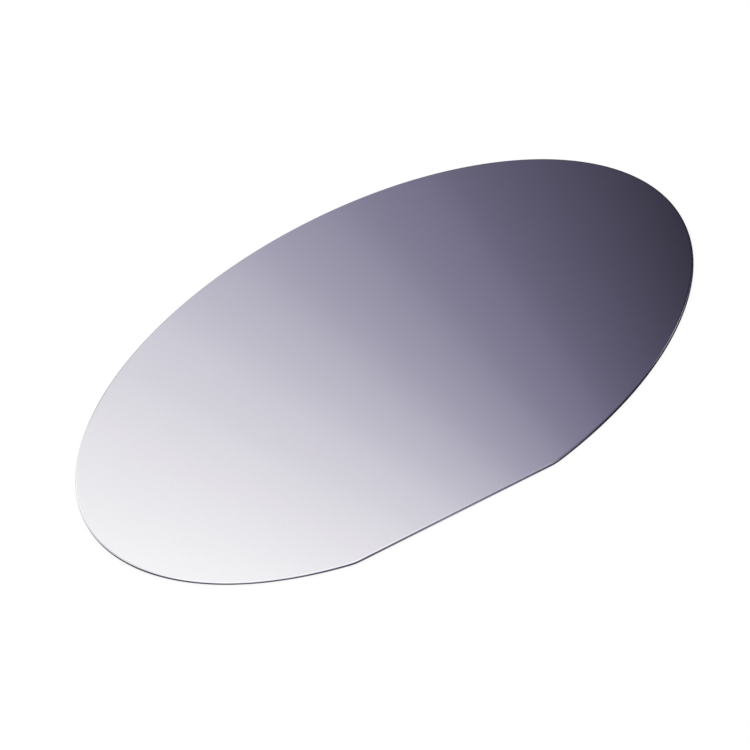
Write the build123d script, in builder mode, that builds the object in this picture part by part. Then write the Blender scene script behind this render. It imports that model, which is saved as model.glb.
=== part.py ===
from build123d import *
import os
from math import asin, cos, degrees, radians, tan

# Epitaxial wafer: one slice of a silicon crystal with a mirror-polished upper face, a ground
# edge and a single primary flat. The epitaxial film is a few micrometres of the same crystal,
# so the slice is one solid.
# Frame, in millimetres: the origin is the centre of the full circle, on the back face.
# +Z leaves the epitaxial face and the primary flat faces -Y.

# Driving dimensions, of a standard 100 mm wafer
wafer_diameter = 100.0
wafer_thickness = 0.525
flat_length = 32.5  # between the flat's two corners, before they are rounded
flat_corner_radius = 5.0
bevel_width = 0.25  # how far the ground bevel reaches in from the edge, on both faces
bevel_angle = 22.0  # fall of the bevel below its face, in degrees
nose_radius = 0.12  # blend between each bevel and the upright land
edge_band_width = 1.0  # strip swept round the outline, which carries the whole edge profile

# Worked out from them
wafer_radius = wafer_diameter / 2
flat_half_angle = asin(flat_length / wafer_diameter)
flat_y = -wafer_radius * cos(flat_half_angle)
flat_middle_angle = -90.0
bevel_depth = bevel_width * tan(radians(bevel_angle))

# Outline: the rim's arc, closed by the flat, with the two corners rounded
with BuildSketch(Plane.XY) as outline:
    with BuildLine():
        rim = CenterArc(
            (0, 0),
            wafer_radius,
            start_angle=flat_middle_angle + degrees(flat_half_angle),
            arc_size=360 - 2 * degrees(flat_half_angle),
        )
        Line(rim @ 1, rim @ 0)
    make_face()
    fillet(outline.vertices(), radius=flat_corner_radius)

# Section of the edge at the middle of the flat: a shallow bevel on each face and a round nose
with BuildSketch(Plane.YZ) as edge_section:
    with BuildLine():
        Polyline(
            (flat_y + edge_band_width, 0),
            (flat_y + bevel_width, 0),
            (flat_y, bevel_depth),
            (flat_y, wafer_thickness - bevel_depth),
            (flat_y + bevel_width, wafer_thickness),
            (flat_y + edge_band_width, wafer_thickness),
            close=True,
        )
    make_face()
    land_ends = edge_section.vertices().group_by(Axis.X)[0]
    fillet(land_ends, radius=nose_radius)

# The slice: the ground edge all round, then the flat plate inside it
with BuildPart() as wafer:
    sweep(edge_section.sketch, path=outline.wire())
    with BuildSketch(Plane.XY):
        offset(outline.sketch, amount=-edge_band_width)
    extrude(amount=wafer_thickness)

wafer.part.label = "wafer"

os.makedirs("parts", exist_ok=True)
export_step(wafer.part, "parts/wafer.step")
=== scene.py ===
from math import asin, pi, radians, sqrt, tan

import bmesh
import bpy
from mathutils import Euler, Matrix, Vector


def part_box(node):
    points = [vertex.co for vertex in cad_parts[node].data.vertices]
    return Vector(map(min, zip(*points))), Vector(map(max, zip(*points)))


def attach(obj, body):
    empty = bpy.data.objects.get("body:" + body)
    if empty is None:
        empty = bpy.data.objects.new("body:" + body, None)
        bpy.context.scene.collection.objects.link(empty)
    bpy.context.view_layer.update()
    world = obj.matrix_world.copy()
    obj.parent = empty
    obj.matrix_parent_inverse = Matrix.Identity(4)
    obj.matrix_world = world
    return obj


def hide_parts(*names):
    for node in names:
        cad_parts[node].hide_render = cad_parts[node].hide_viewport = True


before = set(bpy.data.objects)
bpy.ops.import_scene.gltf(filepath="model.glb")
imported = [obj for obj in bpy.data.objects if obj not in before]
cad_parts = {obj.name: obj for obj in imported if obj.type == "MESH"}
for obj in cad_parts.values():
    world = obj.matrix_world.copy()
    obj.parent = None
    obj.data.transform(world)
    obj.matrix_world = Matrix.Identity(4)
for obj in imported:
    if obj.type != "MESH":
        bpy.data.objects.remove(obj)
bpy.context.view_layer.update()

MM = 0.001

# ---- the wafer's own sizes -------------------------------------------------------------
# The box of the frame gives the diameter, the flat's place and the thickness. The edge
# profile is the one the wafer was ground to.

box_low, box_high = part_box("wafer")
rim_radius = box_high.x
flat_y = box_low.y
thickness = box_high.z

flat_corner_radius = 5.0 * MM
bevel_width = 0.25 * MM
bevel_angle = radians(22.0)
nose_radius = 0.12 * MM

# How finely the shell is divided
rim_steps = 720
corner_steps = 12
nose_steps = 8
smooth_below = radians(15.0)
flat_face_normal = 0.99
merge_within = 0.001 * MM


# ---- small helpers ---------------------------------------------------------------------

def deselect_all():
    if bpy.context.object and bpy.context.object.mode != "OBJECT":
        bpy.ops.object.mode_set(mode="OBJECT")
    bpy.ops.object.select_all(action="DESELECT")


def make_active(obj):
    deselect_all()
    obj.select_set(True)
    bpy.context.view_layer.objects.active = obj


def name_new(name):
    """Names the object that the last operator added."""
    obj = bpy.context.object
    obj.name = name
    obj.data.name = name
    return obj


def turn_sweep(steps, angle, center, axis):
    """Spins what is selected about axis by the right-hand rule; the operator turns the other way."""
    bpy.ops.mesh.spin(steps=steps, angle=-angle, center=center, axis=axis)


def select_parts(obj, kind, wanted):
    """In edit mode, selects the vertices, edges or faces that wanted() says yes to."""
    mode = {"verts": "VERT", "edges": "EDGE", "faces": "FACE"}[kind]
    bpy.ops.mesh.select_mode(type=mode)
    bpy.ops.mesh.select_all(action="DESELECT")
    mesh = bmesh.from_edit_mesh(obj.data)
    for part in getattr(mesh, kind):
        if wanted(part):
            part.select_set(True)
    mesh.select_flush_mode()
    bmesh.update_edit_mesh(obj.data)


# ---- shader nodes ----------------------------------------------------------------------

def add_node(tree, kind, settings=(), **inputs):
    """A shader node with its settings and its unlinked inputs set by name, spaces as _."""
    node = tree.nodes.new("ShaderNode" + kind)
    for name, value in dict(settings).items():
        setattr(node, name, value)
    for name, value in inputs.items():
        node.inputs[name.replace("_", " ")].default_value = value
    return node


def add_math(tree, operation, *values, clamp=False):
    """A Math node's result. The values are sockets or plain numbers."""
    node = add_node(tree, "Math", {"operation": operation, "use_clamp": clamp})
    for place, value in enumerate(values):
        if isinstance(value, bpy.types.NodeSocket):
            tree.links.new(value, node.inputs[place])
        else:
            node.inputs[place].default_value = value
    return node.outputs[0]


def add_remap(tree, value, from_low, from_high, to_low, to_high):
    """Carries one range of a value to another, and holds it at the ends."""
    node = add_node(
        tree, "MapRange", {"clamp": True},
        From_Min=from_low, From_Max=from_high, To_Min=to_low, To_Max=to_high,
    )
    tree.links.new(value, node.inputs["Value"])
    return node.outputs["Result"]


def add_color_mix(tree, share, first, second):
    """Mixes two colours by a mask. first and second are sockets or plain colours."""
    node = add_node(tree, "Mix", {"data_type": "RGBA"})
    tree.links.new(share, node.inputs["Factor"])
    for name, value in (("A", first), ("B", second)):
        socket = next(i for i in node.inputs if i.name == name and i.type == "RGBA")
        if isinstance(value, bpy.types.NodeSocket):
            tree.links.new(value, socket)
        else:
            socket.default_value = (*value, 1.0)
    return next(o for o in node.outputs if o.type == "RGBA")


def add_axes(tree, scale=1.0):
    """Object coordinates as three sockets, each multiplied by scale."""
    place = add_node(tree, "TexCoord")
    scaled = add_node(tree, "VectorMath", {"operation": "SCALE"}, Scale=scale)
    axes = add_node(tree, "SeparateXYZ")
    tree.links.new(place.outputs["Object"], scaled.inputs[0])
    tree.links.new(scaled.outputs["Vector"], axes.inputs["Vector"])
    return axes.outputs


def add_distance_from_axis(tree, x, y):
    squares = [add_math(tree, "MULTIPLY", side, side) for side in (x, y)]
    return add_math(tree, "SQRT", add_math(tree, "ADD", *squares))


def make_mottle_group():
    """Soft cloudy unevenness of a surface: a mask from 0 to 1, in patches of a given size."""
    group = bpy.data.node_groups.new("mottle", "ShaderNodeTree")
    group.interface.new_socket("Patch Size", in_out="INPUT", socket_type="NodeSocketFloat")
    group.interface.new_socket("Contrast", in_out="INPUT", socket_type="NodeSocketFloat")
    group.interface.new_socket("Mask", in_out="OUTPUT", socket_type="NodeSocketFloat")
    given = group.nodes.new("NodeGroupInput")
    result = group.nodes.new("NodeGroupOutput")
    place = add_node(group, "TexCoord")
    per_metre = add_math(group, "DIVIDE", 1.0, given.outputs["Patch Size"])
    noise = add_node(group, "TexNoise", Detail=3.0, Roughness=0.55)
    group.links.new(place.outputs["Object"], noise.inputs["Vector"])
    group.links.new(per_metre, noise.inputs["Scale"])
    centred = add_math(group, "SUBTRACT", noise.outputs["Fac"], 0.5)
    spread = add_math(group, "MULTIPLY", centred, given.outputs["Contrast"])
    mask = add_math(group, "ADD", spread, 0.5, clamp=True)
    group.links.new(mask, result.inputs["Mask"])
    return group


def add_mottle(tree, patch_size, contrast):
    node = tree.nodes.new("ShaderNodeGroup")
    node.node_tree = mottle
    node.inputs["Patch Size"].default_value = patch_size
    node.inputs["Contrast"].default_value = contrast
    return node.outputs["Mask"]


def add_bump(tree, shader, height, strength, distance):
    bump = add_node(tree, "Bump", Strength=strength, Distance=distance)
    tree.links.new(height, bump.inputs["Height"])
    tree.links.new(bump.outputs["Normal"], shader.inputs["Normal"])


# ---- finishes --------------------------------------------------------------------------

def new_finish(name):
    """An opaque metallic finish with nothing joined to its shader yet."""
    finish = bpy.data.materials.new(name)
    finish.use_nodes = True
    tree = finish.node_tree
    shader = tree.nodes["Principled BSDF"]
    shader.inputs["Metallic"].default_value = 1.0
    return finish, tree, shader


def make_polished_epitaxial_face():
    """A silicon mirror, with faint haze clouds and a faint grain in its tone and gloss."""
    finish, tree, shader = new_finish("polished_epitaxial_face")
    haze = add_mottle(tree, patch_size=18 * MM, contrast=2.2)
    grain = add_mottle(tree, patch_size=0.3 * MM, contrast=2.6)
    clear_silicon = (0.384, 0.374, 0.445)
    hazy_silicon = (0.376, 0.366, 0.435)
    grain_silicon = (0.372, 0.362, 0.430)
    clouded = add_color_mix(tree, haze, clear_silicon, hazy_silicon)
    tree.links.new(add_color_mix(tree, grain, clouded, grain_silicon), shader.inputs["Base Color"])

    haze_dullness = add_remap(tree, haze, 0.0, 1.0, 0.02, 0.05)
    grain_dullness = add_remap(tree, grain, 0.0, 1.0, 0.0, 0.015)
    dullness = add_math(tree, "ADD", haze_dullness, grain_dullness)
    tree.links.new(dullness, shader.inputs["Roughness"])
    return finish


def add_grinding_lines(tree):
    """Fine lines that run round the rim, as a mask."""
    patches_per_metre = 300.0
    lines_per_metre = 60000.0
    place = add_node(tree, "TexCoord")
    stretch = add_node(tree, "Mapping", Scale=(patches_per_metre, patches_per_metre, lines_per_metre))
    lines = add_node(tree, "TexNoise", Scale=1.0, Detail=2.0)
    tree.links.new(place.outputs["Object"], stretch.inputs["Vector"])
    tree.links.new(stretch.outputs["Vector"], lines.inputs["Vector"])
    return add_remap(tree, lines.outputs["Fac"], 0.35, 0.65, 0.0, 1.0)


def make_ground_edge():
    """Ground silicon: glossy bevels and a duller nose, whose darker tone is partly ground silicon and
    partly painted shade, with fine lines round the rim.
    """
    finish, tree, shader = new_finish("ground_edge")
    height = add_axes(tree)["Z"]
    from_middle = add_math(tree, "ABSOLUTE", add_math(tree, "SUBTRACT", height, thickness / 2))
    bevel_mask = add_remap(tree, from_middle, 0.12 * MM, 0.18 * MM, 0.0, 1.0)
    patches = add_mottle(tree, patch_size=2.5 * MM, contrast=2.5)
    # The nose's darker tone is partly the duller ground silicon and partly painted shade, for the dark
    # line along the edge.
    nose_tone_and_painted_shade = add_color_mix(tree, patches, (0.243, 0.236, 0.284), (0.198, 0.191, 0.233))
    bevel_tone = add_color_mix(tree, patches, (0.39, 0.38, 0.445), (0.36, 0.35, 0.415))
    tone = add_color_mix(tree, bevel_mask, nose_tone_and_painted_shade, bevel_tone)
    tree.links.new(tone, shader.inputs["Base Color"])

    lines = add_grinding_lines(tree)
    nose_dullness = add_remap(tree, lines, 0.0, 1.0, 0.28, 0.38)
    share_on_bevel = add_remap(tree, bevel_mask, 0.0, 1.0, 1.0, 0.35)
    dullness = add_math(tree, "MULTIPLY", nose_dullness, share_on_bevel)
    tree.links.new(dullness, shader.inputs["Roughness"])
    add_bump(tree, shader, lines, strength=0.15, distance=0.002 * MM)
    return finish


def make_etched_back():
    """The unpolished back: dull grey silicon, etched to fine shallow pits."""
    finish, tree, shader = new_finish("etched_back")
    clouds = add_mottle(tree, patch_size=12 * MM, contrast=2.5)
    pits = add_mottle(tree, patch_size=0.25 * MM, contrast=3.0)
    clouded = add_color_mix(tree, clouds, (0.30, 0.295, 0.335), (0.34, 0.335, 0.375))
    tone = add_color_mix(tree, pits, clouded, (0.25, 0.245, 0.28))
    tree.links.new(tone, shader.inputs["Base Color"])
    tree.links.new(add_remap(tree, pits, 0.0, 1.0, 0.36, 0.52), shader.inputs["Roughness"])
    add_bump(tree, shader, pits, strength=0.5, distance=0.01 * MM)
    return finish


mottle = make_mottle_group()


# ---- the slice -------------------------------------------------------------------------

def draw_edge_section(land_low, land_high):
    """The edge profile as one open line at the middle of the flat, from back face to front."""
    land_height = land_high - land_low
    land_middle = (land_low + land_high) / 2
    inside_y = flat_y + land_height / 2
    bpy.ops.mesh.primitive_plane_add(
        size=land_height,
        location=(0, inside_y, land_middle),
        rotation=(0, pi / 2, 0),
    )
    wafer = name_new("silicon_wafer")
    bpy.ops.object.transform_apply(location=True, rotation=True, scale=True)
    bpy.ops.object.mode_set(mode="EDIT")
    select_parts(wafer, "verts", lambda v: v.co.y > inside_y)
    bpy.ops.mesh.delete(type="VERT")

    nose_turn = pi / 2 - bevel_angle
    for side, land_end, face_z in ((1, land_high, thickness), (-1, land_low, 0)):
        select_parts(wafer, "verts", lambda v: abs(v.co.z - land_end) < land_height / 4)
        nose_centre = (0, flat_y + nose_radius, land_end)
        turn_sweep(nose_steps, nose_turn, nose_centre, (-side, 0, 0))
        section = bmesh.from_edit_mesh(wafer.data)
        nose_end = next(v.co.copy() for v in section.verts if v.select)
        to_face = Vector((0, flat_y + bevel_width - nose_end.y, face_z - nose_end.z))
        bpy.ops.mesh.extrude_region_move(TRANSFORM_OT_translate={"value": to_face})
    return wafer


def sweep_round_outline():
    """Carries the section round the outline, as the grinding wheel goes round it."""
    centre_reach = rim_radius - flat_corner_radius
    corner_y = flat_y + flat_corner_radius
    corner_x = sqrt(centre_reach**2 - corner_y**2)
    corner_turn = asin(corner_x / centre_reach)
    rim_turn = 2 * pi - 2 * corner_turn
    up = (0, 0, 1)

    bpy.ops.mesh.select_all(action="SELECT")
    along_flat = {"value": (corner_x, 0, 0)}
    bpy.ops.mesh.extrude_region_move(TRANSFORM_OT_translate=along_flat)
    turn_sweep(corner_steps, corner_turn, (corner_x, corner_y, 0), up)
    turn_sweep(rim_steps, rim_turn, (0, 0, 0), up)
    turn_sweep(corner_steps, corner_turn, (-corner_x, corner_y, 0), up)
    bpy.ops.mesh.extrude_region_move(TRANSFORM_OT_translate=along_flat)
    bpy.ops.mesh.select_all(action="SELECT")
    bpy.ops.mesh.remove_doubles(threshold=merge_within)


def close_face(wafer, face_z, within):
    """Fills the ring of edges at one height with a flat face."""
    select_parts(wafer, "edges", lambda e: all(abs(v.co.z - face_z) < within for v in e.verts))
    bpy.ops.mesh.edge_face_add()


def make_wafer():
    """Ground edge, epitaxial face and back face as one closed shell, a finish on each."""
    bevel_depth = bevel_width * tan(bevel_angle)
    nose_half_turn = (pi / 2 - bevel_angle) / 2
    nose_reach = nose_radius * tan(nose_half_turn)
    land_low = bevel_depth + nose_reach
    wafer = draw_edge_section(land_low, thickness - land_low)
    sweep_round_outline()
    close_face(wafer, 0, bevel_depth / 4)
    close_face(wafer, thickness, bevel_depth / 4)
    bpy.ops.mesh.select_all(action="SELECT")
    bpy.ops.mesh.normals_make_consistent(inside=False)

    finishes = (
        (make_polished_epitaxial_face(), lambda f: f.normal.z > flat_face_normal),
        (make_ground_edge(), lambda f: abs(f.normal.z) <= flat_face_normal),
        (make_etched_back(), lambda f: f.normal.z < -flat_face_normal),
    )
    for place, (finish, belongs) in enumerate(finishes):
        wafer.data.materials.append(finish)
        select_parts(wafer, "faces", belongs)
        wafer.active_material_index = place
        bpy.ops.object.material_slot_assign()
    make_active(wafer)
    bpy.ops.object.shade_smooth_by_angle(angle=smooth_below)
    return wafer


# ---- the set ---------------------------------------------------------------------------
# A white floor, even light on it, and a card and a light tent that only the wafer reflects.

floor_half_width = 3.0
floor_gap = 0.01 * MM
floor_glow = 0.86
card_half_width = 0.5
card_gap = 0.005 * MM
tent_radius = 8 * rim_radius


def add_plane(name, half_width, z):
    deselect_all()
    bpy.ops.mesh.primitive_plane_add(size=2 * half_width, location=(0, 0, z))
    bpy.ops.object.transform_apply(location=True)
    return name_new(name)


def show_only_in_reflections(obj):
    obj.visible_camera = False
    obj.visible_diffuse = False
    obj.visible_transmission = False
    obj.visible_volume_scatter = False
    obj.visible_shadow = False


def new_set_material(name):
    """A material with an empty output, and its tree."""
    material = bpy.data.materials.new(name)
    material.use_nodes = True
    tree = material.node_tree
    tree.nodes.remove(tree.nodes["Principled BSDF"])
    return material, tree


def show_where_not_clear(tree, clear_mask, shader_output):
    """Puts a shader on the material, and nothing where clear_mask is 1."""
    clear = add_node(tree, "BsdfTransparent")
    either = add_node(tree, "MixShader")
    tree.links.new(clear_mask, either.inputs["Fac"])
    tree.links.new(shader_output, either.inputs[1])
    tree.links.new(clear.outputs["BSDF"], either.inputs[2])
    tree.links.new(either.outputs["Shader"], tree.nodes["Material Output"].inputs["Surface"])


def seen_from_below(tree):
    return add_node(tree, "NewGeometry").outputs["Backfacing"]


def under_wafer(tree):
    axes = add_axes(tree)
    reach = add_distance_from_axis(tree, axes["X"], axes["Y"])
    in_circle = add_math(tree, "LESS_THAN", reach, rim_radius)
    behind_flat = add_math(tree, "GREATER_THAN", axes["Y"], flat_y)
    return add_math(tree, "MULTIPLY", in_circle, behind_flat)


def make_floor():
    """A plain white floor, lit mostly from inside so that a thin wafer throws no dark shadow."""
    floor = add_plane("floor", floor_half_width, -floor_gap)
    floor.visible_glossy = False
    material, tree = new_set_material("white_floor")
    paint = add_node(tree, "BsdfDiffuse", Color=(0.15, 0.15, 0.15, 1.0))
    glow = add_node(tree, "Emission", Strength=floor_glow)
    both = add_node(tree, "AddShader")
    tree.links.new(paint.outputs["BSDF"], both.inputs[0])
    tree.links.new(glow.outputs["Emission"], both.inputs[1])
    show_where_not_clear(tree, seen_from_below(tree), both.outputs["Shader"])
    floor.data.materials.append(material)


def make_edge_card():
    """A card just over the floor, pale at the middle, grey on the left and dark on the right."""
    card = add_plane("edge_card", card_half_width, -card_gap)
    show_only_in_reflections(card)
    material, tree = new_set_material("edge_card")
    x = add_axes(tree, 1 / rim_radius)["X"]
    to_right = add_remap(tree, x, 0.22, 0.40, 0.0, 1.0)
    off_middle = add_remap(tree, add_math(tree, "ABSOLUTE", x), 0.0, 0.3, 0.0, 1.0)
    sides = add_color_mix(tree, to_right, (0.40, 0.38, 0.43), (0.06, 0.056, 0.095))
    tone = add_color_mix(tree, off_middle, (1.05, 1.02, 1.10), sides)
    glow = add_node(tree, "Emission", Strength=1.0)
    tree.links.new(tone, glow.inputs["Color"])
    clear_mask = add_math(tree, "MAXIMUM", under_wafer(tree), seen_from_below(tree))
    show_where_not_clear(tree, clear_mask, glow.outputs["Emission"])
    card.data.materials.append(material)


# The tent's tones run along a fall, from warm white at its low end to a dim violet at its
# high end. The places on the tent are in rim radii.
fall_end = 1.5
fall_tones = (
    (-1.50, (1.00, 1.00, 0.87)),
    (-1.00, (0.94, 0.955, 0.835)),
    (-0.50, (0.75, 0.75, 0.693)),
    (-0.25, (0.61, 0.61, 0.59)),
    (0.00, (0.43, 0.425, 0.45)),
    (0.25, (0.270, 0.263, 0.310)),
    (0.50, (0.152, 0.146, 0.191)),
    (1.00, (0.0405, 0.037, 0.0515)),
    (1.50, (0.028, 0.025, 0.036)),
)
panel_width = 2 * pi / 8
wall_middle_z = 4.0
wall_half_height = 0.548
wall_height_limit = 1.3
wall_steepness = 0.789
wall_lean = 0.217
wall_widening = 0.294
net_middle = radians(52.0)
wall_glow = 2.37
wall_glow_at_floor = 1.3
top_extra_glow = 0.63


def add_fall_on_wall(tree, x, y, z, right_turn):
    """Each panel of the wall falls off from its left to its right, leaning with height."""
    # From 1 low on the wall to -1 high on it, and held a little past both
    drop = add_math(tree, "SUBTRACT", wall_middle_z, z)
    open_height = add_math(tree, "DIVIDE", drop, wall_half_height)
    held_height = add_math(tree, "MINIMUM", open_height, wall_height_limit)
    height = add_math(tree, "MAXIMUM", held_height, -wall_height_limit)

    # Every second panel is the mirror image of the one before
    from_left_edge = add_math(tree, "ADD", right_turn, panel_width / 2)
    folded = add_math(tree, "PINGPONG", from_left_edge, panel_width)
    panel_turn = add_math(tree, "SUBTRACT", folded, panel_width / 2)
    reach = add_distance_from_axis(tree, x, y)
    across = add_math(tree, "MULTIPLY", reach, add_math(tree, "SINE", panel_turn))

    lean = add_math(tree, "MULTIPLY", height, wall_lean)
    leaning = add_math(tree, "ADD", add_math(tree, "MULTIPLY", across, wall_steepness), lean)
    widened = add_math(tree, "ADD", add_math(tree, "MULTIPLY", height, wall_widening), 1.0)
    return add_math(tree, "DIVIDE", leaning, widened)


def add_net(tree, z, right_turn):
    """A dark net on the right for the edge to reflect, thinner halfway up: what it adds to the fall."""
    off_net = add_math(tree, "ABSOLUTE", add_math(tree, "SUBTRACT", right_turn, net_middle))
    net_mask = add_remap(tree, off_net, radians(20.0), radians(28.0), 1.0, 0.0)
    low_part = add_remap(tree, z, 2.6, 3.6, 2.6, 0.8)
    high_part = add_remap(tree, z, 3.9, 4.6, 0.8, 2.2)
    density = add_math(tree, "MAXIMUM", low_part, high_part)
    return add_math(tree, "MULTIPLY", net_mask, density)


def add_fall_on_top(tree, x, y):
    """The top is one panel, nearly even to the left and with a long tail to the right."""
    soften = 0.2
    even = add_math(tree, "MULTIPLY_ADD", x, -0.07, -0.92)
    steepness = add_remap(tree, y, 0.2, 1.0, 0.9, 1.8)
    steep = add_math(tree, "MULTIPLY_ADD", x, steepness, -0.33)
    toward_back = add_remap(tree, y, 3.65, 6.65, 0.0, 1.0)
    tail = add_math(tree, "ADD", add_math(tree, "MULTIPLY_ADD", x, 0.20, -0.01), toward_back)
    left_part = add_math(tree, "SMOOTH_MAX", even, steep, soften)
    across = add_math(tree, "SMOOTH_MIN", left_part, tail, soften)
    toward_front = add_remap(tree, y, -1.3, 0.8, 0.9, 0.0)
    return add_math(tree, "ADD", across, toward_front)


def add_fall_tones(tree, fall):
    ramp_node = add_node(tree, "ValToRGB")
    ramp = ramp_node.color_ramp
    ramp.interpolation = "CARDINAL"
    while len(ramp.elements) < len(fall_tones):
        ramp.elements.new(0.5)
    for element, (at, color) in zip(ramp.elements, fall_tones):
        element.position = (at + fall_end) / (2 * fall_end)
        element.color = (*color, 1.0)
    along_ramp = add_remap(tree, fall, -fall_end, fall_end, 0.0, 1.0)
    tree.links.new(along_ramp, ramp_node.inputs["Fac"])
    return ramp_node.outputs["Color"]


def make_tent_light():
    """The tent's graded light: a wall of panels, and a brighter top."""
    material, tree = new_set_material("tent_light")
    x, y, below_or_above = add_axes(tree, 1 / rim_radius)
    z = add_math(tree, "ABSOLUTE", below_or_above)
    right_turn = add_math(tree, "ARCTAN2", x, y)
    open_wall = add_fall_on_wall(tree, x, y, z, right_turn)
    wall = add_math(tree, "ADD", open_wall, add_net(tree, z, right_turn))
    top = add_fall_on_top(tree, x, y)
    top_mask = add_remap(tree, z, 4.7, 5.2, 0.0, 1.0)
    wall_to_top = add_math(tree, "SUBTRACT", top, wall)
    fall = add_math(tree, "MULTIPLY_ADD", wall_to_top, top_mask, wall)

    wall_strength = add_remap(tree, z, 0.0, 1.6, wall_glow_at_floor, wall_glow)
    extra = add_math(tree, "MULTIPLY", top_mask, top_extra_glow)
    glow = add_node(tree, "Emission")
    tree.links.new(add_fall_tones(tree, fall), glow.inputs["Color"])
    tree.links.new(add_math(tree, "ADD", wall_strength, extra), glow.inputs["Strength"])
    tree.links.new(glow.outputs["Emission"], tree.nodes["Material Output"].inputs["Surface"])
    return material


def make_tent():
    """A closed light tent round the wafer."""
    deselect_all()
    bpy.ops.mesh.primitive_uv_sphere_add(segments=128, ring_count=64, radius=tent_radius)
    tent = name_new("light_tent")
    show_only_in_reflections(tent)
    tent.data.materials.append(make_tent_light())


def light_set():
    """Even light from all round, for the floor."""
    world = bpy.data.worlds.new("studio")
    bpy.context.scene.world = world
    world.use_nodes = True
    sky = world.node_tree.nodes["Background"]
    sky.inputs["Color"].default_value = (1.0, 1.0, 1.0, 1.0)
    sky.inputs["Strength"].default_value = 1.0


def place_camera():
    """A long lens that looks down along +Y, turned about its own line of sight."""
    elevation = radians(30.04)
    roll = radians(26.66)
    reach = 1.4925
    aim_right = 0.98 * MM
    aim_up = 1.29 * MM
    camera_data = bpy.data.cameras.new("camera")
    camera_data.lens = 480
    camera_data.sensor_width = 36
    camera_data.clip_start = 0.01
    camera_data.clip_end = 100
    camera = bpy.data.objects.new("camera", camera_data)
    bpy.context.scene.collection.objects.link(camera)
    look_down = Euler((pi / 2 - elevation, 0, 0)).to_matrix()
    turn = look_down @ Euler((0, 0, -roll)).to_matrix()
    camera.rotation_euler = turn.to_euler()
    face_centre = Vector((0, 0, thickness))
    camera.location = face_centre + turn @ Vector((-aim_right, -aim_up, reach))
    bpy.context.scene.camera = camera


wafer = make_wafer()
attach(wafer, "root")
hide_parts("wafer")
make_floor()
make_edge_card()
make_tent()
light_set()
place_camera()
bpy.context.scene.view_settings.view_transform = "Standard"
